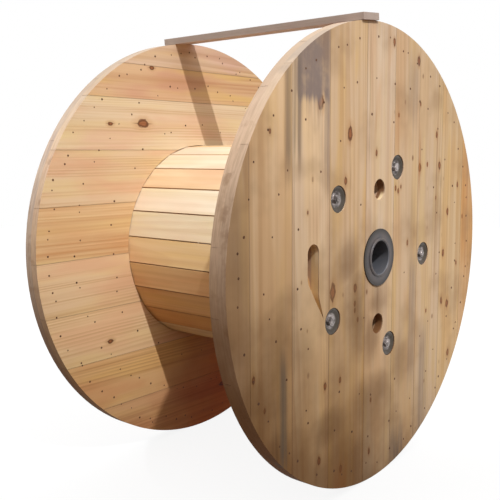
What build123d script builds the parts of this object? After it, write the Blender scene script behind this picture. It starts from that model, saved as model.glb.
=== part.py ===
from build123d import *
import os
from math import cos, radians, tan

# Wooden cable drum standing on its two rims, in millimetres, +Z up.
# The drum's axis lies along Y, the front flange faces -Y, and the origin is on the
# floor, midway between the two flanges.

# Overall sizes
flange_diameter = 1100.0
drum_width = 632.0
ply_thickness = 20.5
board_gap = 0.6

# Joints between the boards of each ply, as shares of the flange's radius
front_outer_joint_shares = (-0.875, -0.63, -0.385, -0.112, 0.125, 0.355, 0.6, 0.84)
front_inner_joint_shares = (-0.845, -0.6, -0.35, -0.105, 0.14, 0.385, 0.69, 0.87)
rear_inner_joint_shares = (-0.74, -0.5, -0.26, -0.015, 0.225, 0.47, 0.71, 0.87)
rear_outer_joint_shares = (-0.86, -0.61, -0.36, -0.12, 0.115, 0.37, 0.615, 0.85)

# Barrel: flat staves whose ends stand in a ring groove of each flange
barrel_diameter = 543.0
stave_count = 25
stave_thickness = 22.0
stave_gap = 1.6
stave_edge_chamfer = 1.2
stave_turn = -0.3
groove_depth = 8.0
groove_clearance = 0.5

# Iron bushes in the middle of the flanges
arbor_diameter = 80.0
bush_wall = 3.0
bush_lip_diameter = 138.0
bush_lip_thickness = 3.0
bush_collar_width = 7.0
bush_collar_height = 3.5
bush_collar_chamfer = 2.0
bush_length = 70.0
bush_clearance = 0.3

# Tie rods from flange to flange, with a dished washer and a nut at each end
rod_count = 5
rod_inset = 16.6
rod_turn = -4.0
rod_diameter = 12.0
rod_clearance = 0.3
washer_diameter = 59.0
washer_thickness = 2.0
washer_dish_depth = 8.0
washer_floor_diameter = 32.0
recess_clearance = 1.0
recess_depth = 12.0
nut_width = 19.0
nut_height = 8.0
rod_end_depth = 0.6

# Driving holes above and below the bush
driving_hole_diameter = 50.0
driving_hole_offset = 163.0

# Slot where the cable's inner end leaves through the front flange
slot_width = 42.0
slot_top = 58.0
slot_through = 36.0
slot_tip_drop = 112.0
slot_tip_inward = 40.0
slot_left_corner_drop = 22.0
slot_right_corner_drop = 58.0
slot_corner_radius = 40.0

# Lath nailed across both rims at the top
batten_width = 67.0
batten_thickness = 16.0
batten_turn = 5.7
batten_reach = 5.0

overrun = 5.0

flange_radius = flange_diameter / 2
half_width = drum_width / 2
flange_thickness = 2 * ply_thickness
barrel_radius = barrel_diameter / 2
stave_angle = 360 / stave_count
stave_face = barrel_radius * cos(radians(stave_angle / 2))
stave_back = stave_face - stave_thickness
rod_circle_radius = stave_back - rod_inset
stave_length = drum_width - 2 * flange_thickness + 2 * groove_depth
bush_radius = arbor_diameter / 2 + bush_wall
recess_radius = washer_diameter / 2 + recess_clearance
inner_face = half_width - flange_thickness
mid_face = half_width - ply_thickness

# Planes square to the drum's axis, with their normals out of the drum. Those of the
# front have their local x to the right, and those of the rear have it to the left.
hub_plane = Plane(origin=(0, 0, flange_radius), x_dir=(1, 0, 0), z_dir=(0, -1, 0))
back_plane = Plane(origin=(0, 0, flange_radius), x_dir=(-1, 0, 0), z_dir=(0, 1, 0))
front_seat = hub_plane.offset(half_width)
rear_seat = back_plane.offset(half_width)


# The rods' places round the hub, for a plane of the front or of the rear
def rod_places(seat):
    first = rod_turn if seat is front_seat else 180 - rod_turn
    return PolarLocations(rod_circle_radius, rod_count, first, rotate=False)


def save(part, name):
    part.label = name
    export_step(part, f"parts/{name}.step")


# The slot: a round-topped cut through the flange that ramps up to the face at its tip
def slot_void():
    left = -barrel_radius - slot_width / 2
    right = -barrel_radius + slot_width / 2
    shoulder = slot_top - slot_width / 2
    tip = (-barrel_radius + slot_tip_inward, -slot_tip_drop)
    with BuildPart() as void:
        with BuildSketch(front_seat.offset(overrun)) as outline:
            with BuildLine():
                Line((left, shoulder), (left, -slot_left_corner_drop))
                Line((left, -slot_left_corner_drop), tip)
                Line(tip, (right, -slot_right_corner_drop))
                Line((right, -slot_right_corner_drop), (right, shoulder))
                ThreePointArc((left, shoulder), (-barrel_radius, slot_top), (right, shoulder))
            make_face()
            bends = outline.vertices().filter_by_position(
                Axis.Y, -slot_right_corner_drop, -slot_left_corner_drop
            )
            fillet(bends, slot_corner_radius)
        extrude(amount=-flange_thickness - 2 * overrun)
        # The ramp's floor runs from the through cut down to nothing at the tip
        ramp_top = flange_radius + slot_top - slot_through
        ramp_tip = flange_radius - slot_tip_drop
        with BuildSketch(Plane.YZ.offset(left - overrun)):
            with BuildLine():
                Polyline(
                    (-inner_face, ramp_top),
                    (-half_width, ramp_tip),
                    (-half_width, ramp_tip - overrun),
                    (-inner_face + overrun, ramp_tip - overrun),
                    (-inner_face + overrun, ramp_top),
                    close=True,
                )
            make_face()
        extrude(amount=2 * slot_width + 2 * overrun + slot_tip_inward, mode=Mode.SUBTRACT)
    return void.part


# The holes that run through both flanges: five for the rods and two for driving pins
def through_holes():
    with BuildPart() as holes:
        with BuildSketch(front_seat.offset(overrun)):
            with rod_places(front_seat):
                Circle(rod_diameter / 2 + rod_clearance)
            with Locations((0, driving_hole_offset), (0, -driving_hole_offset)):
                Circle(driving_hole_diameter / 2)
        extrude(amount=-drum_width - 2 * overrun)
    return holes.part


# The counterbores for the dished washers in an outer face
def washer_recesses(seat):
    with BuildPart() as recesses:
        with BuildSketch(seat):
            with rod_places(seat):
                Circle(recess_radius)
        extrude(amount=-recess_depth)
    return recesses.part


# The ring groove in an inner face, where the ends of the staves stand
def stave_groove(seat):
    with BuildPart() as groove:
        with BuildSketch(seat.offset(-flange_thickness)):
            Circle(barrel_radius + groove_clearance)
            Circle(stave_back - groove_clearance, mode=Mode.SUBTRACT)
        extrude(amount=groove_depth)
    return groove.part


# The round hole for a bush
def bush_hole(seat):
    with BuildPart() as hole:
        with BuildSketch(seat):
            Circle(bush_radius + bush_clearance)
        extrude(amount=-bush_length)
    return hole.part


# One board of a ply: the strip of the flange's disc between two joints, less every void
# that reaches into it
def ply_board(ply_plane, low, high, upright, voids):
    middle = (low + high) / 2
    strip = high - low
    size = (strip, flange_diameter) if upright else (flange_diameter, strip)
    place = (middle, 0) if upright else (0, middle)
    with BuildPart() as board:
        with BuildSketch(ply_plane):
            Circle(flange_radius)
            with Locations(place):
                Rectangle(*size, mode=Mode.INTERSECT)
        extrude(amount=-ply_thickness)
        for void in voids:
            add(void, mode=Mode.SUBTRACT)
    return board.part


# The boards of one ply, whose plane lies on the ply's front face
def ply_boards(ply_plane, joint_shares, upright, voids):
    joints = [share * flange_radius for share in joint_shares]
    lows = [-flange_radius] + [joint + board_gap / 2 for joint in joints]
    highs = [joint - board_gap / 2 for joint in joints] + [flange_radius]
    return [
        ply_board(ply_plane, low, high, upright, voids)
        for low, high in zip(lows, highs)
    ]


# A stave is a flat plank with its long front edges eased; its sides point at the axis
def stave():
    half_angle = radians(stave_angle / 2)
    face_reach = stave_face * tan(half_angle) - stave_gap / 2
    back_reach = stave_back * tan(half_angle) - stave_gap / 2
    with BuildPart() as plank:
        with BuildSketch(hub_plane.offset(stave_length / 2)) as section:
            with BuildLine():
                Polyline(
                    (stave_face, -face_reach),
                    (stave_face, face_reach),
                    (stave_back, back_reach),
                    (stave_back, -back_reach),
                    close=True,
                )
            make_face()
            chamfer(section.vertices().group_by(Axis.X)[-1], stave_edge_chamfer)
        extrude(amount=-stave_length)
    return plank.part


# A cast bush: a short tube with a flat lip against the flange and a raised collar round
# its mouth. Its seat is at z = 0 and its tube points down.
def bush():
    bore = arbor_diameter / 2
    lip = bush_lip_diameter / 2
    collar = bore + bush_collar_width
    crest = bush_lip_thickness + bush_collar_height
    end = bush_lip_thickness - bush_length
    with BuildPart() as sleeve:
        with BuildSketch(Plane.XZ) as section:
            with BuildLine():
                Polyline((bore, end), (bore, crest), (collar, crest), (collar, bush_lip_thickness),
                         (lip, bush_lip_thickness), (lip, 0), (bush_radius, 0), (bush_radius, end),
                         close=True)
            make_face()
            chamfer(section.vertices().group_by(Axis.Y)[-1], bush_collar_chamfer)
        revolve(axis=Axis.Z)
    return sleeve.part


# A dished washer, its hollow side up and its floor at z = 0
def dished_washer():
    hole = rod_diameter / 2 + rod_clearance
    floor = washer_floor_diameter / 2
    rim = washer_diameter / 2
    brim = washer_dish_depth + washer_thickness
    with BuildPart() as dish:
        with BuildSketch(Plane.XZ):
            with BuildLine():
                Polyline((hole, 0), (floor, 0), (rim, brim), (rim - 2 * washer_thickness, brim),
                         (floor - washer_thickness, washer_thickness), (hole, washer_thickness),
                         close=True)
            make_face()
        revolve(axis=Axis.Z)
    return dish.part


# A hexagon nut, its seat at z = 0
def hexagon_nut():
    with BuildPart() as nut:
        with BuildSketch():
            RegularPolygon(nut_width / 2, 6, major_radius=False)
            Circle(rod_diameter / 2 + rod_clearance / 2, mode=Mode.SUBTRACT)
        extrude(amount=nut_height)
    return nut.part


os.makedirs("parts", exist_ok=True)

# Front flange: upright boards outside, level boards inside
front_voids = (through_holes(), bush_hole(front_seat), slot_void())
front_outer = ply_boards(front_seat, front_outer_joint_shares, True,
                         front_voids + (washer_recesses(front_seat),))
for number, board in enumerate(front_outer, 1):
    save(board, f"front_outer_board_{number}")
front_inner = ply_boards(hub_plane.offset(mid_face), front_inner_joint_shares, False,
                         front_voids + (stave_groove(front_seat),))
save(Compound(front_inner), "front_inner_boards")

# Rear flange: level boards inside, upright boards outside
rear_voids = (through_holes(), bush_hole(rear_seat))
rear_inner = ply_boards(hub_plane.offset(-inner_face), rear_inner_joint_shares, False,
                        rear_voids + (stave_groove(rear_seat),))
for number, board in enumerate(rear_inner, 1):
    save(board, f"rear_inner_board_{number}")
rear_outer = ply_boards(hub_plane.offset(-mid_face), rear_outer_joint_shares, True,
                        rear_voids + (washer_recesses(rear_seat),))
save(Compound(rear_outer), "rear_outer_boards")

# Barrel
for number in range(stave_count):
    turn = stave_turn + (number + 1 / 2) * stave_angle
    axis = Axis((0, 0, flange_radius), (0, -1, 0))
    save(stave().rotate(axis, turn), f"stave_{number + 1:02d}")

# Bushes
save(front_seat.location * bush(), "front_bush")
save(rear_seat.location * bush(), "rear_bush")

# Tie rods with their washers and nuts
for number, place in enumerate(rod_places(front_seat), 1):
    with BuildPart() as rod:
        with BuildSketch(front_seat.offset(-rod_end_depth)):
            with Locations(place):
                Circle(rod_diameter / 2)
        extrude(amount=-drum_width + 2 * rod_end_depth)
    save(rod.part, f"tie_rod_{number}")
for side, seat in (("front", front_seat), ("rear", rear_seat)):
    washer_seat = seat.offset(-recess_depth)
    nut_seat = washer_seat.offset(washer_thickness)
    washers = [washer_seat.location * place * dished_washer() for place in rod_places(seat)]
    save(Compound(washers), f"{side}_dished_washers")
    nuts = [nut_seat.location * place * hexagon_nut() for place in rod_places(seat)]
    save(Compound(nuts), f"{side}_nuts")

# Batten across the tops of both flanges, flush with the rear one and a little past the
# front one
with BuildPart() as batten:
    with BuildSketch(front_seat.offset(batten_reach)):
        with PolarLocations(flange_radius + batten_thickness / 2, 1, 90 + batten_turn):
            Rectangle(batten_thickness, batten_width)
    extrude(amount=-drum_width - batten_reach)
save(batten.part, "batten")
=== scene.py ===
import math
import random

import bpy
from mathutils import Matrix, Vector


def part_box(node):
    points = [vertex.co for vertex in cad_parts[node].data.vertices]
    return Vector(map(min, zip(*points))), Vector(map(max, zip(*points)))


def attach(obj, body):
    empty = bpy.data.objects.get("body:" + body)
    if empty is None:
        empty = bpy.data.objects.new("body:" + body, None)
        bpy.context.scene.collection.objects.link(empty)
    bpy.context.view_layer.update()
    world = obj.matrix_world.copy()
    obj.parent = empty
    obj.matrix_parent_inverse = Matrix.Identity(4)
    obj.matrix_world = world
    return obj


# The drum as it is packed, in metres. Its axis lies along Y, the front flange faces -Y
# and the rims stand on the floor at z = 0.
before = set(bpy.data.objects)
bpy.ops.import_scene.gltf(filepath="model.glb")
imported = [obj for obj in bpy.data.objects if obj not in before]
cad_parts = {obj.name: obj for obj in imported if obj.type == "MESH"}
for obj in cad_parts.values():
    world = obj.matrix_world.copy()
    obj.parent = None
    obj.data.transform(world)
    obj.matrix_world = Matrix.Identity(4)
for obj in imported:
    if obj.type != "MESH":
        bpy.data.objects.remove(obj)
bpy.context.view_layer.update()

# Camera: a 53 mm lens 0.8 m above the floor, in front of the drum and to its left, so
# that the front flange, the barrel and the inside of the rear flange all show.
camera_place = Vector((-1.540, -1.211, 0.801))
camera_turn = math.radians(-51.59)
camera_dip = math.radians(7.28)
camera_roll = math.radians(-0.19)
camera = bpy.data.objects.new("camera", bpy.data.cameras.new("camera"))
camera.data.lens = 53.19
camera.data.sensor_width = 36
camera.data.shift_x = -0.045
camera.data.shift_y = -0.0063
camera.matrix_world = (
    Matrix.Translation(camera_place)
    @ Matrix.Rotation(camera_turn, 4, "Z")
    @ Matrix.Rotation(math.pi / 2 - camera_dip, 4, "X")
    @ Matrix.Rotation(camera_roll, 4, "Z")
)
bpy.context.scene.collection.objects.link(camera)
bpy.context.scene.camera = camera


# Rear flange, inner ply: nine level boards of planed pine, cut to a round after they
# were nailed to the upright ply behind them. Places on a flange are shares of its
# radius, across (to +X) and up from the hub, and both flanges are the same size.
rim_low, rim_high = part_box("front_inner_boards")
flange_radius = (rim_high[2] - rim_low[2]) / 2
hub_height = (rim_high[2] + rim_low[2]) / 2
rightwards = (1, 0, 0)
upwards = (0, 0, 1)
frontwards = (0, -1, 0)
rearwards = (0, 1, 0)


class Shade:
    """A socket of a finish's node tree. Sums with it add Math nodes."""

    def __init__(self, tree, socket=None):
        self.tree = tree
        self.socket = socket

    def node(self, kind, settings=None, sockets=None, output=0):
        """Adds a node, with its settings first and then its sockets' values or links."""
        node = self.tree.nodes.new(kind)
        for name, value in (settings or {}).items():
            if name == "stops":
                for stop in list(node.color_ramp.elements)[1:]:
                    node.color_ramp.elements.remove(stop)
                node.color_ramp.elements[0].position = value[0][0]
                node.color_ramp.elements[0].color = value[0][1]
                for position, colour in value[1:]:
                    node.color_ramp.elements.new(position).color = colour
            elif name == "steps":
                node.color_ramp.interpolation = value
            else:
                setattr(node, name, value)
        for name, value in (sockets or {}).items():
            if isinstance(value, Shade):
                self.tree.links.new(value.socket, node.inputs[name])
            else:
                node.inputs[name].default_value = value
        return Shade(self.tree, node.outputs[output] if node.outputs else None)

    def math(self, operation, *values):
        return self.node("ShaderNodeMath", {"operation": operation}, dict(enumerate(values)))

    def __add__(self, other):
        return self.math("ADD", self, other)

    def __sub__(self, other):
        return self.math("SUBTRACT", self, other)

    def __rsub__(self, other):
        return self.math("SUBTRACT", other, self)

    def __mul__(self, other):
        return self.math("MULTIPLY", self, other)

    def __truediv__(self, other):
        return self.math("DIVIDE", self, other)

    def __pow__(self, other):
        return self.math("POWER", self, other)

    __radd__ = __add__
    __rmul__ = __mul__


def rise(value, start, end):
    """0 on the start's side, 1 on the end's side, and smooth between the two."""
    return value.node("ShaderNodeMapRange", {"interpolation_type": "SMOOTHSTEP"},
                      {"Value": value, "From Min": start, "From Max": end})


def noise(place, detail=2.0, scale=1.0):
    return place.node("ShaderNodeTexNoise", {}, {"Vector": place, "Scale": scale, "Detail": detail})


def size_of(value):
    return value.math("ABSOLUTE", value)


def blend(amount, colour, other, kind="MIX"):
    return amount.node("ShaderNodeMix", {"data_type": "RGBA", "blend_type": kind},
                       {0: amount, 6: colour, 7: other}, output=2)


def paint(red, green, blue):
    """A colour as a paint chart gives it, from 0 to 255, for a socket."""
    return tuple((part / 255) ** 2.2 for part in (red, green, blue)) + (1.0,)


class Pine:
    """One board's finish in the making: sawn from a log, with its rings, fibres and knots.

    across, along and outward are the board's own directions. middle is its place across,
    and each knot has its places across and along and half its width, all in metres. tones
    are the colours of its early wood, its late wood, and the golden and pink bands that
    run along it.
    """

    def __init__(self, name, across, along, outward, middle, width, tones, seed,
                 ring_strength=0.5, knots=()):
        self.material = bpy.data.materials.new(name)
        self.material.use_nodes = True
        self.material.node_tree.nodes.clear()
        self.start = Shade(self.material.node_tree)
        self.place = self.start.node("ShaderNodeTexCoord", output="Object")
        self.side, self.run, self.depth = [self.reach(way) for way in (across, along, outward)]
        self.height = self.reach(upwards)
        self.outward = outward
        self.middle = middle
        self.width = width
        dice = random.Random(seed)
        self.shift = dice.uniform(-40, 40)

        # The grain flows round each knot. A knot is a little lopsided, dark at its rim and
        # red inside, and a thin crack runs from it along the grain.
        bent = self.side
        heart = None
        crack = None
        uneven = noise(self.stretched(90.0, 60.0), 2.0) - 0.5
        for knot_side, knot_run, size in knots:
            beside = self.side - knot_side
            above = (self.run - knot_run) * 0.6
            away = beside * beside + above * above
            bent = bent - beside * (size * size) / (away + size * size * 0.4) * 0.8
            ring = away ** 0.5 / size + uneven * 1.1
            heart = ring if heart is None else heart.math("MINIMUM", heart, ring)
            tail = (rise(size_of(beside), size * 0.22, size * 0.05)
                    * rise(size_of(above), size * 2.2, size * 0.8))
            crack = tail if crack is None else crack.math("MAXIMUM", crack, tail)
        self.heart = heart

        # Year rings about a pith behind the board, which the saw met a little askew. Some
        # of them are dark and others hardly show.
        wander = noise(self.stretched(5.0, 0.8), 1.0) - 0.5
        pith_side = middle + dice.choice((-1, 1)) * dice.uniform(0.2, 1.1) * width
        pith_depth = dice.uniform(0.03, 0.09)
        lean = dice.uniform(-0.012, 0.012)
        ring_width = dice.uniform(0.0026, 0.0042)
        across_ring = bent - pith_side + wander * 0.03
        behind_ring = self.depth + self.run * lean + pith_depth
        year = (across_ring * across_ring + behind_ring * behind_ring) ** 0.5 / ring_width
        phase = year.math("FRACT", year)
        bold = noise(self.start.node("ShaderNodeCombineXYZ", {}, {
            "X": year * 0.45, "Y": self.run * 1.5, "Z": self.shift}), 1.0)
        self.late = rise(phase, 0.2, 0.85) * rise(phase, 1.0, 0.9) * rise(bold, 0.4, 0.68)
        self.fibre = noise(self.stretched(620.0, 9.0), 2.0)
        self.streak = noise(self.stretched(60.0, 0.5), 3.0)
        early, late, gold, pink = tones
        golden = noise(self.stretched(22.0, 2.4, 11.0), 3.0)
        rosy = noise(self.stretched(14.0, 3.0, 23.0), 3.0)
        self.colour = blend(rise(golden, 0.42, 0.66), early, gold)
        self.colour = blend(rise(rosy, 0.45, 0.68), self.colour, pink)
        self.colour = blend(rise(self.streak, 0.42, 0.75) * 0.5, self.colour, late)
        self.colour = blend(self.late * ring_strength + self.fibre * 0.14, self.colour, late)
        if heart is not None:
            halo = rise(heart, 2.6, 1.0) * 0.4
            inside = rise(heart, 1.2, 0.7)
            rim = rise(size_of(heart - 0.8), 0.4, 0.1)
            self.colour = blend(halo, self.colour, paint(186, 138, 92))
            self.colour = blend(crack * 0.6, self.colour, paint(104, 70, 44))
            self.colour = blend(inside * 0.92, self.colour, paint(144, 88, 54))
            self.colour = blend(rim * 0.7, self.colour, paint(84, 54, 34))

    def reach(self, way):
        """How far a place lies along a direction, in metres."""
        return self.start.node("ShaderNodeVectorMath", {"operation": "DOT_PRODUCT"},
                               {0: self.place, 1: way}, output="Value")

    def stretched(self, across_scale, along_scale, apart=0.0):
        """The place on the board, for a pattern that is drawn out along the grain."""
        return self.start.node("ShaderNodeCombineXYZ", {}, {
            "X": self.side * across_scale + (self.shift + apart),
            "Y": self.run * along_scale - (self.shift + apart),
            "Z": self.depth * across_scale,
        })

    def by_board(self, joint_shares, way, colour, strength):
        """A tone of its own for each board of a ply whose boards share this finish."""
        dice = random.Random(len(joint_shares) + int(self.shift))
        places = [0.0] + [(share + 1) / 2 for share in joint_shares]
        tones = [(place, (dice.random(),) * 3 + (1.0,)) for place in places]
        from_hub = self.height - hub_height if way == upwards else self.reach(way)
        step = self.start.node("ShaderNodeValToRGB", {"steps": "CONSTANT", "stops": tones}, {
            "Fac": from_hub * (0.5 / flange_radius) + 0.5})
        self.colour = blend(step * strength, self.colour, colour)

    def edges(self, colour, strength, inward=0.0035):
        """Dust and shade in the joints along both long edges of the board."""
        to_edge = self.width / 2 - size_of(self.side - self.middle)
        self.colour = blend(rise(to_edge, inward, 0.0) * strength, self.colour, colour)

    def cut(self, colour, dark, strength):
        """Sawn surfaces, such as the rim, the holes and the board's edges. They are greyed
        by rain at the top of the drum, and painted shade darkens and browns them towards its foot."""
        normal = self.start.node("ShaderNodeNewGeometry", output="Normal")
        facing = self.start.node("ShaderNodeVectorMath", {"operation": "DOT_PRODUCT"},
                                 {0: normal, 1: self.outward}, output="Value")
        self.sawn = rise(size_of(facing), 0.75, 0.45)
        self.tooth = noise(self.start.node("ShaderNodeCombineXYZ", {}, {
            "X": self.side * 22.0, "Y": self.run * 22.0, "Z": self.depth * 260.0}), 3.0)
        grime = noise(self.place, 4.0, 24.0)
        sawn_colour = blend(rise(self.tooth, 0.35, 0.7), colour, dark)
        sawn_colour = blend(rise(grime, 0.55, 0.72) * 0.6, sawn_colour, paint(138, 106, 82))
        greyed = rise(self.height, 0.78, 1.02) * 0.9
        sawn_colour = blend(greyed, sawn_colour, paint(166, 150, 134))
        # Painted shade: darker and browner towards the foot
        painted_foot_shade = rise(self.height, 0.85, 0.05) * 0.9
        sawn_colour = blend(painted_foot_shade, sawn_colour, paint(98, 60, 24))
        self.colour = blend(self.sawn * strength, self.colour, sawn_colour)

    def close(self):
        """Ends the finish with its relief and gloss, and gives the material."""
        relief = ((self.fibre * 0.6 + self.late * 0.3) * (1 - self.sawn)
                  + self.tooth * self.sawn * 1.6)
        if self.heart is not None:
            relief = relief + rise(self.heart, 1.2, 0.7) * 0.6
        bump = self.start.node("ShaderNodeBump", {}, {
            "Strength": 0.5, "Distance": 0.0006, "Height": relief})
        surface = self.start.node("ShaderNodeBsdfPrincipled", {}, {
            "Base Color": self.colour,
            "Roughness": 0.62 + self.fibre * 0.2 + self.sawn * 0.1,
            "Specular IOR Level": 0.3,
            "Normal": bump,
        })
        self.start.node("ShaderNodeOutputMaterial", {}, {"Surface": surface})
        return self.material


def dress(name, material):
    """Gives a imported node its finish."""
    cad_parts[name].material_slots[0].material = material


def painted_shadow_below_barrel(board):
    """Painted shadow inside the rear flange, darker and more orange, where the barrel shades it. It
    grows from left to right below the hub, dies out before the right rim, and darkens the foot."""
    uneven = (noise(board.place, 3.0, 7.0) - 0.5) * 0.2
    across = board.reach(rightwards) + uneven
    shaded = rise(across - board.height * 0.6, -0.42, 0.02) * rise(across, 0.4, 0.2)
    below_hub = rise(board.height, 0.55, 0.35) * 0.9
    at_floor = rise(board.height, 0.16, 0.02) * 0.45
    # Painted shadow, and a darker foot, multiplied into the tone
    shadow_and_dark_foot = shaded.math("MAXIMUM", shaded * below_hub, at_floor)
    board.colour = blend(shadow_and_dark_foot, board.colour, paint(184, 102, 32), "MULTIPLY")


rim_pale = paint(214, 184, 158)
rim_dark = paint(190, 162, 138)
joint_brown = paint(112, 80, 52)

# Tones of the boards from the floor up: early wood, late wood, golden and pink bands
rear_inner_tones = (
    (paint(232, 190, 140), paint(183, 131, 84), paint(236, 194, 134), paint(222, 170, 126)),
    (paint(230, 188, 134), paint(184, 133, 82), paint(234, 191, 126), paint(224, 170, 120)),
    (paint(238, 207, 162), paint(198, 152, 105), paint(240, 210, 154), paint(234, 192, 150)),
    (paint(228, 197, 157), paint(188, 143, 99), paint(230, 199, 147), paint(224, 181, 143)),
    (paint(222, 187, 142), paint(190, 139, 90), paint(226, 194, 140), paint(218, 172, 127)),
    (paint(220, 191, 155), paint(186, 141, 100), paint(220, 193, 144), paint(218, 172, 137)),
    (paint(224, 202, 169), paint(192, 153, 112), paint(222, 197, 150), paint(220, 183, 153)),
    (paint(214, 178, 139), paint(180, 130, 89), paint(216, 181, 121), paint(206, 160, 130)),
    (paint(214, 185, 157), paint(176, 134, 98), paint(214, 181, 141), paint(212, 174, 155)),
)
# Knots: across, up and half their width
rear_inner_knot_shares = (
    (-0.385, 0.595, 0.020), (-0.58, 0.59, 0.009), (-0.32, 0.86, 0.009),
    (0.30, 0.30, 0.014), (0.55, -0.30, 0.016), (-0.62, -0.42, 0.010),
    (0.15, -0.82, 0.013), (0.62, 0.52, 0.012),
)
for number, tones in enumerate(rear_inner_tones, 1):
    name = f"rear_inner_board_{number}"
    low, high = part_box(name)
    knots = [
        (hub_height + up * flange_radius, across * flange_radius, size * flange_radius)
        for across, up, size in rear_inner_knot_shares
        if low[2] < hub_height + up * flange_radius < high[2]
    ]
    board = Pine(name, upwards, rightwards, frontwards, (low[2] + high[2]) / 2,
                 high[2] - low[2], tones, seed=30 + number, knots=knots)
    board.edges(joint_brown, 0.15)
    painted_shadow_below_barrel(board)
    board.cut(rim_pale, rim_dark, 0.8)
    dress(name, board.close())

# Rear flange, outer ply: nine upright boards of the same pine, nailed across the level
# ones. They share one finish, with a pith near the drum's middle and a tone by board.
rear_outer_joint_shares = (-0.85, -0.615, -0.37, -0.115, 0.12, 0.36, 0.61, 0.86)
board_width = 0.13
rear_outer_middle = 0.05
board = Pine("rear_outer_pine", rightwards, upwards, rearwards, rear_outer_middle, board_width,
             (paint(212, 178, 138), paint(172, 128, 86), paint(212, 174, 122),
              paint(208, 164, 130)), seed=51)
board.by_board(rear_outer_joint_shares, rightwards, paint(172, 132, 92), 0.6)
board.cut(paint(206, 186, 168), paint(178, 160, 148), 0.85)
dress("rear_outer_boards", board.close())

# Barrel: 25 flat planed staves round the axis, their ends held in a groove of each
# flange. They are paler than the flanges, and those that show have tones of their own. The
# tones grow more orange from stave 13 to stave 16, which paints the warm shade on the lower side.
stave_tones_and_shade = {
    8: (paint(218, 204, 180), paint(200, 176, 144), paint(218, 198, 163), paint(214, 190, 164)),
    9: (paint(218, 202, 176), paint(200, 176, 142), paint(218, 196, 160), paint(214, 187, 159)),
    10: (paint(222, 192, 154), paint(194, 156, 114), paint(220, 186, 138), paint(214, 174, 138)),
    11: (paint(230, 216, 192), paint(208, 184, 152), paint(228, 210, 172), paint(226, 202, 176)),
    12: (paint(228, 212, 180), paint(204, 176, 140), paint(226, 206, 160), paint(224, 198, 166)),
    # Staves 13 to 16: tones with painted warm shade
    13: (paint(242, 210, 161), paint(210, 166, 117), paint(238, 203, 144), paint(233, 188, 142)),
    14: (paint(233, 192, 140), paint(199, 149, 98), paint(231, 188, 125), paint(223, 171, 121)),
    15: (paint(223, 177, 123), paint(186, 134, 83), paint(220, 173, 110), paint(210, 156, 104)),
    16: (paint(216, 164, 106), paint(176, 122, 70), paint(216, 164, 100), paint(206, 148, 94)),
}
plain_stave_tones = (paint(222, 192, 150), paint(190, 148, 104), paint(220, 186, 134),
                     paint(214, 172, 130))
stave_count = 25
stave_turn = math.radians(-0.3)
stave_width = 0.066
for number in range(1, stave_count + 1):
    angle = stave_turn + (number - 0.5) * 2 * math.pi / stave_count
    outward = (math.cos(angle), 0, math.sin(angle))
    across = (-math.sin(angle), 0, math.cos(angle))
    name = f"stave_{number:02d}"
    middle = across[2] * hub_height
    plank = Pine(name, across, rearwards, outward, middle, stave_width,
                 stave_tones_and_shade.get(number, plain_stave_tones), seed=70 + number, ring_strength=0.25)
    plank.edges(paint(160, 112, 70), 0.6, inward=0.002)
    plank.cut(paint(186, 140, 96), paint(150, 106, 68), 0.9)
    dress(name, plank.close())


# Front flange, inner ply: nine level boards of pine behind the upright ones, which show
# at the rim, in the slot and from behind. They share one finish, with a tone by board.
def mud_and_painted_shadow(board):
    """Mud and painted shadow in the lower left of the front flange, darkest at the rim, and painted
    warm light low down.
    """
    across = board.reach(rightwards) * (0.52 / flange_radius)
    up = (board.height - hub_height) * (0.86 / flange_radius)
    uneven = (noise(board.place, 4.0, 6.0) - 0.5) * 0.9
    # Painted shadow with mud: darker towards the lower left
    mud_and_shadow = rise(across + up + uneven, -0.34, -1.08)
    board.colour = blend(mud_and_shadow * 0.75, board.colour, paint(100, 64, 30))
    # Painted warm light from the ground, multiplied into the lower part
    painted_warm_bounce = rise(board.height, 0.62, 0.06) * rise(across, 0.4, -0.25)
    board.colour = blend(painted_warm_bounce * 0.8, board.colour, paint(255, 240, 204), "MULTIPLY")


front_inner_joint_shares = (-0.845, -0.6, -0.35, -0.105, 0.14, 0.385, 0.69, 0.87)
front_inner_middle = 0.6
board = Pine("front_inner_pine", upwards, rightwards, rearwards, front_inner_middle, board_width,
             (paint(212, 174, 132), paint(168, 122, 78), paint(212, 170, 116),
              paint(206, 158, 122)), seed=52)
board.by_board(front_inner_joint_shares, upwards, paint(168, 126, 84), 0.5)
board.cut(rim_pale, rim_dark, 0.8)
mud_and_painted_shadow(board)
dress("front_inner_boards", board.close())

# Front flange, outer ply: nine upright boards of mixed pine, with the holes, the washers'
# recesses and the slot cut in. It has stood outdoors, so rain, mud and rust have marked it, and it
# carries painted shadow on its lower left and painted dappled shade below the hub.
front_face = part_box("front_outer_board_5")[0][1]


def stain(board, shares, soft_across=0.008, soft_along=0.05, streaky=True):
    """Stains with soft ends, each on the board that it lies on: left, right, bottom and top
    as shares from the hub, then its colour and strength."""
    for left, right, bottom, top, colour, strength in shares:
        middle = (left + right) / 2 * flange_radius
        if abs(middle - board.middle) > board.width / 2:
            continue
        first, last = left * flange_radius, right * flange_radius
        low, high = hub_height + bottom * flange_radius, hub_height + top * flange_radius
        across = board.side + (board.fibre - 0.5) * soft_across
        along = board.run + (board.streak - 0.5) * (soft_along * 5)
        mask = (rise(across, first - soft_across, first + soft_across)
                * rise(across, last + soft_across, last - soft_across)
                * rise(along, low - soft_along, low + soft_along)
                * rise(along, high + soft_along, high - soft_along))
        if streaky:
            mask = mask * rise(board.streak, 0.2, 0.6)
        else:
            mask = mask * rise(noise(board.place, 4.0, 18.0) + board.fibre * 0.3, 0.25, 0.7)
        board.colour = blend(mask * strength, board.colour, colour)


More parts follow.
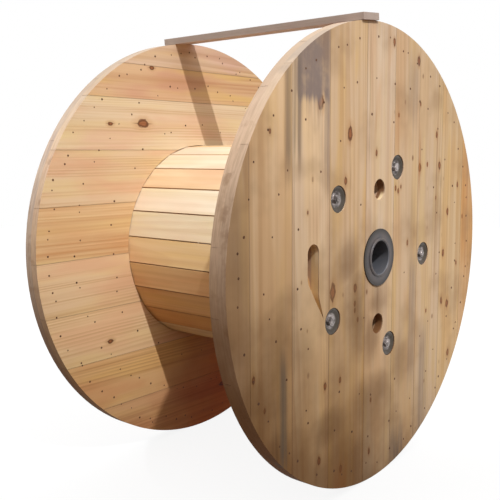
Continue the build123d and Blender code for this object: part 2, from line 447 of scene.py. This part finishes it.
def weather(board, colour, strength):
    """Dirt in soft patches that cross the joints, and small brown specks."""
    patch = noise(board.place, 3.0, 7.0)
    board.colour = blend(rise(patch, 0.46, 0.72) * strength, board.colour, colour)
    speck = {"Vector": board.stretched(24.0, 15.0, 5.0), "Scale": 1.0}
    spread = board.start.node("ShaderNodeTexVoronoi", {}, speck, output="Distance")
    cell = board.start.node("ShaderNodeTexVoronoi", {}, speck, output="Color")
    chance = board.start.node("ShaderNodeSeparateColor", {}, {"Color": cell})
    dot = rise(spread + (board.fibre - 0.5) * 0.06, 0.15, 0.05) * rise(chance, 0.62, 0.9)
    board.colour = blend(dot * 0.8, board.colour, paint(118, 78, 48))


def dappled_shade(board, patch_shares):
    """Painted dappled shade: soft brown patches that cross the joints, each with its place across
    and up, its reach both ways and its strength."""
    across = board.reach(rightwards)
    up = board.height - hub_height
    rough = (noise(board.place, 4.0, 9.0) - 0.5) * 1.3
    cover = None
    for left, over, wide, high, strength in patch_shares:
        beside = (across - left * flange_radius) / (wide * flange_radius)
        above = (up - over * flange_radius) / (high * flange_radius)
        away = (beside * beside + above * above) ** 0.5 + rough
        spot = rise(away, 1.15, 0.1) * strength
        cover = spot if cover is None else cover.math("MAXIMUM", cover, spot)
    # Painted dappled shade
    board.colour = blend(cover, board.colour, paint(112, 82, 54))


def hollow(board, colour, strength, light_colour):
    """Grime in whatever is cut into the front face: a hole, or the slot and its ramp. From about
    3 to 15 cm above the hub, as in the top of the slot and the lower side of the upper driving
    hole, the first centimetre carries painted light instead, in a pale colour."""
    up = board.height - hub_height
    out = (board.side * board.side + up * up) ** 0.5
    within_rim = rise(out, flange_radius * 0.97, flange_radius * 0.95)
    below_face = rise(board.depth, -front_face - 0.0005, -front_face - 0.004)
    first_centimetre = rise(board.depth, -front_face - 0.013, -front_face - 0.009)
    # Painted light at the mouth of these cuts
    painted_light_mask = first_centimetre * rise(up, 0.0, 0.03) * rise(up, 0.160, 0.146)
    board.colour = blend(within_rim * below_face * strength, board.colour,
                         blend(painted_light_mask, colour, light_colour))


# Tones of the boards from left to right: early wood, late wood, golden and pink bands
front_outer_tones = (
    (paint(200, 167, 132), paint(160, 119, 84), paint(202, 165, 119), paint(194, 157, 117)),
    (paint(226, 192, 152), paint(188, 144, 101), paint(228, 189, 134), paint(220, 181, 137)),
    (paint(224, 196, 164), paint(192, 152, 116), paint(226, 192, 148), paint(222, 188, 150)),
    (paint(212, 182, 148), paint(180, 138, 96), paint(214, 178, 126), paint(210, 171, 122)),
    (paint(218, 194, 167), paint(188, 151, 120), paint(216, 187, 148), paint(216, 182, 146)),
    (paint(210, 182, 150), paint(176, 136, 98), paint(212, 180, 132), paint(206, 170, 132)),
    (paint(210, 184, 154), paint(178, 140, 104), paint(212, 182, 136), paint(208, 176, 138)),
    (paint(212, 184, 146), paint(180, 139, 97), paint(216, 181, 128), paint(210, 173, 125)),
    (paint(208, 172, 132), paint(178, 130, 85), paint(214, 171, 115), paint(208, 161, 108)),
)
# Knots, as on the rear flange
front_knot_shares = (
    (-0.24, 0.53, 0.017), (-0.27, 0.34, 0.010), (-0.358, -0.102, 0.019), (-0.19, -0.112, 0.011),
    (0.34, 0.87, 0.012), (0.577, 0.389, 0.012), (0.79, 0.29, 0.008), (0.68, 0.155, 0.010),
    (0.54, 0.54, 0.009), (0.641, -0.049, 0.011), (0.635, -0.295, 0.013), (0.70, -0.318, 0.014),
    (0.262, 0.039, 0.007), (-0.41, -0.48, 0.009), (-0.30, -0.48, 0.008), (-0.45, -0.78, 0.010),
    (-0.29, -0.87, 0.010), (-0.06, -0.87, 0.009), (0.726, -0.586, 0.011), (0.11, 0.93, 0.009),
    (-0.45, 0.65, 0.018), (0.37, 0.385, 0.013), (-0.859, -0.345, 0.009), (-0.76, 0.53, 0.006),
    (0.447, 0.397, 0.006), (0.467, -0.319, 0.006), (0.546, 0.233, 0.006), (0.16, 0.62, 0.006),
    (-0.191, -0.176, 0.008), (-0.19, -0.205, 0.007), (-0.166, -0.249, 0.006), (-0.03, 0.454, 0.008),
    (0.142, 0.297, 0.007), (0.165, 0.283, 0.007), (0.19, 0.30, 0.006), (-0.50, 0.355, 0.006),
    (-0.532, 0.23, 0.005), (-0.533, -0.228, 0.004), (-0.572, -0.033, 0.004), (0.86, 0.12, 0.007),
    (0.80, -0.12, 0.007), (0.366, 0.678, 0.006), (-0.05, -0.635, 0.006), (-0.796, -0.473, 0.006),
)
hole_brown = paint(114, 72, 34)
# Painted light: the pale colour for the first centimetre of cuts a little above the hub
pale_painted_light = paint(238, 210, 164)
slot_brown = paint(220, 188, 136)
grey_stain = paint(134, 120, 112)
dark_stain = paint(108, 92, 78)
fresh_wood = paint(232, 200, 158)
rust_stain = paint(186, 122, 66)

# Stains: left, right, bottom, top, colour and strength. The solid one ends sharply, and the
# low ones lie over the mud and the painted shadow.
solid_stain_shares = ((-0.6, -0.39, 0.655, 1.0, paint(128, 111, 105), 0.95),)
front_stain_shares = (
    (-0.672, -0.634, 0.42, 1.0, dark_stain, 0.7),
    (-0.627, -0.575, 0.42, 1.0, dark_stain, 0.75),
    (-0.60, -0.385, 0.62, 1.0, grey_stain, 0.4),
    (-0.45, -0.385, 0.35, 0.70, grey_stain, 0.6),
    (-0.56, -0.43, 0.30, 0.60, fresh_wood, 0.6),
    (-0.48, -0.42, -0.24, -0.14, fresh_wood, 0.7),
    (-0.62, -0.40, -0.34, 0.14, fresh_wood, 0.6),
    (0.285, 0.35, -0.62, -0.04, grey_stain, 0.6),
    (0.40, 0.50, -0.95, -0.42, grey_stain, 0.55),
    (0.25, 0.34, 0.62, 0.88, grey_stain, 0.35),
    (0.355, 0.375, 0.28, 0.52, rust_stain, 0.6),
    (0.13, 0.18, 0.42, 0.70, rust_stain, 0.4),
    (-0.04, 0.0, 0.59, 0.66, rust_stain, 0.55),
    (0.86, 0.92, -0.15, 0.40, rust_stain, 0.45),
)
low_stain_shares = (
    (-0.705, -0.665, -0.72, -0.30, paint(96, 86, 76), 0.8),
    (-0.75, -0.72, -0.72, -0.55, paint(84, 56, 34), 0.65),
    (0.13, 0.25, -1.0, -0.86, paint(104, 90, 82), 0.75),
    (-0.34, -0.24, -0.98, -0.84, paint(136, 82, 32), 0.5),
    (-0.47, -0.44, -0.84, -0.72, paint(96, 58, 30), 0.55),
)
# Patches of painted dappled shade: across, up, reach across, reach up and strength
dappled_shade_shares = (
    (-0.17, -0.20, 0.13, 0.22, 0.75), (-0.23, 0.02, 0.10, 0.13, 0.55),
    (-0.05, -0.33, 0.09, 0.16, 0.55), (-0.02, -0.20, 0.12, 0.10, 0.6),
    (-0.02, -0.62, 0.20, 0.12, 0.5), (-0.36, -0.66, 0.14, 0.10, 0.45),
    (0.20, -0.52, 0.08, 0.16, 0.4), (0.30, 0.12, 0.05, 0.24, 0.25),
    (-0.72, -0.32, 0.07, 0.20, 0.3), (-0.94, 0.08, 0.08, 0.25, 0.35),
)
# Cracks and dark joints: left, right, bottom and top
front_crack_shares = (
    (-0.012, 0.004, -0.25, -0.125), (-0.385, -0.38, -0.55, 0.1), (-0.235, -0.228, 0.28, 0.38),
    (0.37, 0.376, 0.3, 0.5), (0.125, 0.129, -0.9, -0.3), (-0.62, -0.616, -0.4, 0.35),
    (0.545, 0.549, -0.2, 0.6), (-0.09, -0.086, 0.45, 0.95),
)
crack_brown = paint(122, 86, 56)
cracks = [shares + (crack_brown, 0.5) for shares in front_crack_shares]
slot_board = 3
for number, tones in enumerate(front_outer_tones, 1):
    name = f"front_outer_board_{number}"
    low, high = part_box(name)
    knots = [
        (across * flange_radius, hub_height + up * flange_radius, size * flange_radius)
        for across, up, size in front_knot_shares
        if low[0] < across * flange_radius < high[0]
    ]
    board = Pine(name, rightwards, upwards, frontwards, (low[0] + high[0]) / 2,
                 high[0] - low[0], tones, seed=10 + number, ring_strength=0.38, knots=knots)
    stain(board, solid_stain_shares, soft_along=0.012, streaky=False)
    stain(board, front_stain_shares)
    stain(board, cracks, soft_across=0.0015, soft_along=0.03)
    weather(board, paint(150, 118, 86), 0.45)
    dappled_shade(board, dappled_shade_shares)
    board.edges(joint_brown, 0.2)
    board.cut(rim_pale, rim_dark, 0.8)
    if number == slot_board:
        hollow(board, slot_brown, 0.7, pale_painted_light)
    else:
        hollow(board, hole_brown, 0.85, pale_painted_light)
    mud_and_painted_shadow(board)
    stain(board, low_stain_shares)
    dress(name, board.close())


# Bushes: two cast iron sleeves with a broad lip, pressed into the flanges from outside.
# They are painted dark, their lips have gone brown at the edge, and their bores are painted a
# paler blue-grey, for rubbed metal and a painted sheen.
def metal(name, colour, worn, roughness, metallic, grain_scale, mark=None):
    """Cast, plated or rusty metal. A mark is a function that adds to its tone."""
    material = bpy.data.materials.new(name)
    material.use_nodes = True
    material.node_tree.nodes.clear()
    start = Shade(material.node_tree)
    place = start.node("ShaderNodeTexCoord", output="Object")
    patch = noise(place, 4.0, grain_scale)
    fine = noise(place, 2.0, grain_scale * 9)
    tone = blend(rise(patch, 0.34, 0.66), colour, worn)
    if mark:
        tone = mark(tone, place)
    bump = start.node("ShaderNodeBump", {}, {"Strength": 0.3, "Distance": 0.0004, "Height": fine})
    surface = start.node("ShaderNodeBsdfPrincipled", {}, {
        "Base Color": tone,
        "Roughness": roughness + (patch - 0.5) * 0.25,
        "Metallic": metallic,
        "Normal": bump,
    })
    start.node("ShaderNodeOutputMaterial", {}, {"Surface": surface})
    return material


def off_hub(place):
    """How far a place lies across and above the hub, in metres."""
    across = place.node("ShaderNodeSeparateXYZ", {}, {"Vector": place}, output="X")
    height = place.node("ShaderNodeSeparateXYZ", {}, {"Vector": place}, output="Z")
    return across, height - hub_height


def lip_edge_and_bore_sheen(tone, place):
    """The lip darkens towards its edge, and the bore is painted a paler blue-grey, for rubbed
    metal and a painted sheen.
    """
    lip_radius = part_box("front_bush")[1][0]
    dark_band = 0.018
    sheen_within = 0.0405
    sheen_beyond = 0.0425
    across, up = off_hub(place)
    uneven = (noise(place, 4.0, 40.0) - 0.5) * 0.006
    out = (across * across + up * up) ** 0.5 + uneven
    at_edge = rise(out, lip_radius - dark_band, lip_radius) * 0.85
    tone = blend(at_edge, tone, paint(46, 40, 34))
    # Painted sheen with rubbed metal in the bore
    return blend(rise(out, sheen_beyond, sheen_within) * 0.6, tone, paint(106, 110, 118))


bush_iron = metal("bush_iron", paint(80, 76, 78), paint(96, 88, 86), roughness=0.42,
                  metallic=0.35, grain_scale=40.0, mark=lip_edge_and_bore_sheen)
for name in ("front_bush", "rear_bush"):
    dress(name, bush_iron)

# Nails: cut steel nails, driven through both plies of each flange in rings struck from
# the hub. The heads sit flush in the wood and have gone dark brown with rust.
nail_tree = bpy.data.node_groups.new("nail_heads", "GeometryNodeTree")
nail_tree.is_modifier = True
nail_inputs = {"Places": "Geometry", "Head radius": "Float", "Head depth": "Float",
               "Lean": "Float", "Outward": "Vector", "Finish": "Material"}
for label, kind in nail_inputs.items():
    nail_tree.interface.new_socket(label, in_out="INPUT", socket_type="NodeSocket" + kind)
nail_tree.interface.new_socket("Heads", in_out="OUTPUT", socket_type="NodeSocketGeometry")
start = Shade(nail_tree)
given = {label: start.node("NodeGroupInput", output=label) for label in nail_inputs}
head = start.node("GeometryNodeMeshCone", {}, {
    "Vertices": 10, "Radius Bottom": given["Head radius"],
    "Radius Top": given["Head radius"] * 0.7, "Depth": given["Head depth"]})
facing = start.node("FunctionNodeAlignRotationToVector", {"axis": "Z"}, {"Vector": given["Outward"]})
tilt = start.node("FunctionNodeRandomValue", {"data_type": "FLOAT_VECTOR"}, {
    0: start.node("ShaderNodeCombineXYZ", {}, {
        "X": given["Lean"] * -1.0, "Y": given["Lean"] * -1.0, "Z": -3.0}),
    1: start.node("ShaderNodeCombineXYZ", {}, {
        "X": given["Lean"], "Y": given["Lean"], "Z": 3.0}), "Seed": 4})
turned = start.node("FunctionNodeRotateRotation", {"rotation_space": "LOCAL"}, {
    "Rotation": facing, "Rotate By": start.node("FunctionNodeEulerToRotation", {}, {"Euler": tilt})})
size = start.node("FunctionNodeRandomValue", {"data_type": "FLOAT"},
                  {2: 0.8, 3: 1.15, "Seed": 5}, output=1)
heads = start.node("GeometryNodeInstanceOnPoints", {}, {
    "Points": given["Places"], "Instance": head, "Rotation": turned, "Scale": size})
heads = start.node("GeometryNodeRealizeInstances", {}, {"Geometry": heads})
heads = start.node("GeometryNodeSetMaterial", {}, {"Geometry": heads, "Material": given["Finish"]})
start.node("NodeGroupOutput", {}, {"Heads": heads})

nail_rust = metal("nail_rust", paint(110, 72, 46), paint(70, 46, 30), roughness=0.8,
                  metallic=0.0, grain_scale=500.0)


def drive_nails(name, places, outward, radius):
    """Nail heads at the places, in metres, made one plain mesh that belongs to the drum."""
    points = bpy.data.meshes.new(name)
    points.from_pydata(places, [], [])
    row = bpy.data.objects.new(name, points)
    bpy.context.scene.collection.objects.link(row)
    heads = row.modifiers.new("heads", "NODES")
    heads.node_group = nail_tree
    values = {"Head radius": radius, "Head depth": radius * 0.35, "Lean": 0.12,
              "Outward": outward, "Finish": nail_rust}
    for item in nail_tree.interface.items_tree:
        if item.in_out == "INPUT" and item.name in values:
            heads[item.identifier] = values[item.name]
    made = row.evaluated_get(bpy.context.evaluated_depsgraph_get())
    plain = bpy.data.meshes.new_from_object(made)
    row.modifiers.clear()
    row.data = plain
    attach(row, "root")


# Rings of nails: share of the flange's radius, and nails in the ring. Where a washer, a
# hole, the slot or the bush needs room, given by its place and a radius, a nail is left out.
front_nail_rings = ((0.935, 54), (0.78, 34), (0.6, 20), (0.27, 5))
rear_nail_rings = ((0.945, 84), (0.79, 58), (0.6, 34), (0.27, 9))
nail_free_shares = (
    (0.0, 0.0, 0.16), (0.157, 0.387, 0.075), (-0.313, 0.275, 0.075), (0.413, -0.023, 0.075),
    (-0.346, -0.222, 0.075), (0.098, -0.402, 0.075), (0.0, 0.3, 0.06), (0.0, -0.285, 0.06),
    (-0.5, 0.07, 0.07), (-0.48, -0.05, 0.07), (-0.44, -0.17, 0.06),
)


def nail_spots(rings, seed):
    """Places across and up, in metres from the hub, for one flange's nails."""
    dice = random.Random(seed)
    spots = []
    for share, count in rings:
        for step in range(count):
            turn = (step + dice.uniform(-0.42, 0.42)) * 2 * math.pi / count
            out = share + dice.uniform(-0.02, 0.02)
            across, up = out * math.cos(turn), out * math.sin(turn)
            if any(math.hypot(across - left, up - over) < room
                   for left, over, room in nail_free_shares):
                continue
            spots.append((across * flange_radius, up * flange_radius))
    return spots


front_spots = nail_spots(front_nail_rings, 7)
rear_spots = nail_spots(rear_nail_rings, 8)
nail_sink = 0.0008
barrel_clear = 0.6 * flange_radius - 0.01
front_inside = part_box("front_inner_boards")[1][1]
rear_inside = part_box("rear_inner_board_5")[0][1]
rear_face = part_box("rear_outer_boards")[1][1]

# The four faces: name, place and way along Y, nails, radius of a head, and the circle
# inside which none shows
nailed_faces = (
    ("front_face_nails", front_face, -1, front_spots, 0.0035, 0.0),
    ("rear_inside_nails", rear_inside, -1, rear_spots, 0.0031, barrel_clear),
    ("rear_face_nails", rear_face, 1, rear_spots, 0.0034, 0.0),
    ("front_inside_nails", front_inside, 1, front_spots, 0.0034, barrel_clear),
)
for name, face, way, spots, radius, clear in nailed_faces:
    places = [(across, face - way * nail_sink, hub_height + up)
              for across, up in spots if math.hypot(across, up) > clear]
    drive_nails(name, places, (0, way, 0), radius)


# Tie rods, dished washers and nuts: zinc plated steel, drawn up tight in recesses of the
# boards. The plating has gone dull, and the washers' outer rings are painted dark, for dirt and
# the shade in their dishes.
def washer_ring_shade_and_dirt(tone, place):
    """Painted shade and dirt on the outer ring of each of the five washers, a little way out from
    its rod.
    """
    rod_count = 5
    unshaded_within = 0.0165
    shaded_beyond = 0.0205
    low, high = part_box("tie_rod_1")
    rod_across = (low[0] + high[0]) / 2
    rod_up = (low[2] + high[2]) / 2 - hub_height
    across, up = off_hub(place)
    turn = place.math("ARCTAN2", up, across) - math.atan2(rod_up, rod_across)
    turn = place.math("WRAP", turn, math.pi / rod_count, -math.pi / rod_count)
    out = (across * across + up * up) ** 0.5
    beside = out * place.math("SINE", turn)
    beyond = out * place.math("COSINE", turn) - math.hypot(rod_across, rod_up)
    away = (beside * beside + beyond * beyond) ** 0.5
    # Painted shade with dirt on each washer's outer ring
    return blend(rise(away, unshaded_within, shaded_beyond) * 0.95, tone, paint(72, 64, 54))


zinc = metal("zinc_steel", paint(186, 177, 174), paint(100, 92, 88), roughness=0.34,
             metallic=0.45, grain_scale=90.0, mark=washer_ring_shade_and_dirt)
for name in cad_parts:
    if name.startswith("tie_rod") or name.endswith(("washers", "nuts")):
        dress(name, zinc)

# Batten: a thin sawn lath of softwood, greyed by the weather. It is nailed across the tops
# of both rims, a little left of the middle.
lath_middle = -0.055
lath_width = 0.067
lath = Pine("batten_pine", rightwards, rearwards, upwards, lath_middle, lath_width,
            (paint(204, 186, 182), paint(164, 142, 136), paint(196, 174, 162),
             paint(196, 168, 166)), seed=91)
lath.cut(paint(198, 176, 168), paint(162, 136, 128), 0.7)
dress("batten", lath.close())


# Floor: a plain pale ground that the drum stands on. It is nearly white to the eye and
# keeps the drum's shadow, and it throws only a little warm light back up at the drum.
def seen_by_eye(start):
    """1 for what is seen straight, in gloss or through glass, and 0 for what gives light."""
    seen = start.node("ShaderNodeLightPath", output="Is Camera Ray")
    for ray in ("Is Glossy Ray", "Is Transmission Ray"):
        seen = seen.math("MAXIMUM", seen, start.node("ShaderNodeLightPath", output=ray))
    return seen


floor_reach = 6.0
floor_corners = [(-floor_reach, -floor_reach, 0), (floor_reach, -floor_reach, 0),
                 (floor_reach, floor_reach, 0), (-floor_reach, floor_reach, 0)]
floor_mesh = bpy.data.meshes.new("floor")
floor_mesh.from_pydata(floor_corners, [], [(0, 1, 2, 3)])
floor = bpy.data.objects.new("floor", floor_mesh)
bpy.context.scene.collection.objects.link(floor)
floor_finish = bpy.data.materials.new("floor")
floor_finish.use_nodes = True
floor_finish.node_tree.nodes.clear()
floor_mesh.materials.append(floor_finish)
start = Shade(floor_finish.node_tree)
shadowed = start.node("ShaderNodeBsdfDiffuse", {}, {"Color": (0.12, 0.12, 0.12, 1)})
glow = start.node("ShaderNodeEmission", {}, {"Color": (0.88, 0.88, 0.88, 1)})
pale = start.node("ShaderNodeAddShader", {}, {0: shadowed, 1: glow})
dull = start.node("ShaderNodeBsdfDiffuse", {}, {"Color": (0.17, 0.1, 0.05, 1)})
start.node("ShaderNodeOutputMaterial", {}, {
    "Surface": start.node("ShaderNodeMixShader", {}, {0: seen_by_eye(start), 1: dull, 2: pale})})

# Light: one lamp far off, above and in front to the left, whose pool of light fades out
# across the foot of the front flange, and a soft surround that is brightest overhead.
world = bpy.data.worlds.new("studio")
world.use_nodes = True
world.node_tree.nodes.clear()
bpy.context.scene.world = world
start = Shade(world.node_tree)
overhead = start.node("ShaderNodeSeparateXYZ", {}, {
    "Vector": start.node("ShaderNodeTexCoord", output="Generated")}, output="Z")
surround = start.node("ShaderNodeBackground", {}, {
    "Color": (1, 1, 1, 1), "Strength": 0.1 + rise(overhead, 0.0, 0.9) * 1.5})
backdrop = start.node("ShaderNodeBackground", {}, {"Color": (1, 1, 1, 1), "Strength": 1.0})
start.node("ShaderNodeOutputWorld", {}, {
    "Surface": start.node("ShaderNodeMixShader", {}, {
        0: seen_by_eye(start), 1: surround, 2: backdrop})})

# The lamp stands on lamp_way from the hub. The edge of its pool of light comes nearest to
# the hub on the side away from lamp_lean, and lies pool_foot from it there.
lamp_distance = 12.0
lamp_way = Vector((-0.308, -0.556, 0.772)).normalized()
lamp_lean = Vector((0.574, 0.537, 0.617)).normalized()
pool_radius = 4.8
pool_foot = 0.66
hub_middle = Vector((0, 0, hub_height))
lamp = bpy.data.objects.new("lamp", bpy.data.lights.new("lamp", "SPOT"))
lamp.data.energy = 4700
lamp.data.shadow_soft_size = 0.1
lamp.data.spot_size = 2 * math.atan(pool_radius / lamp_distance)
lamp.data.spot_blend = 0.2
lamp_place = hub_middle + lamp_way * lamp_distance
lamp_aim = hub_middle + lamp_lean * (pool_radius - pool_foot)
lamp.matrix_world = Matrix.Translation(lamp_place) @ (
    (lamp_place - lamp_aim).to_track_quat("Z", "Y").to_matrix().to_4x4())
bpy.context.scene.collection.objects.link(lamp)

bpy.context.scene.view_settings.view_transform = "Standard"
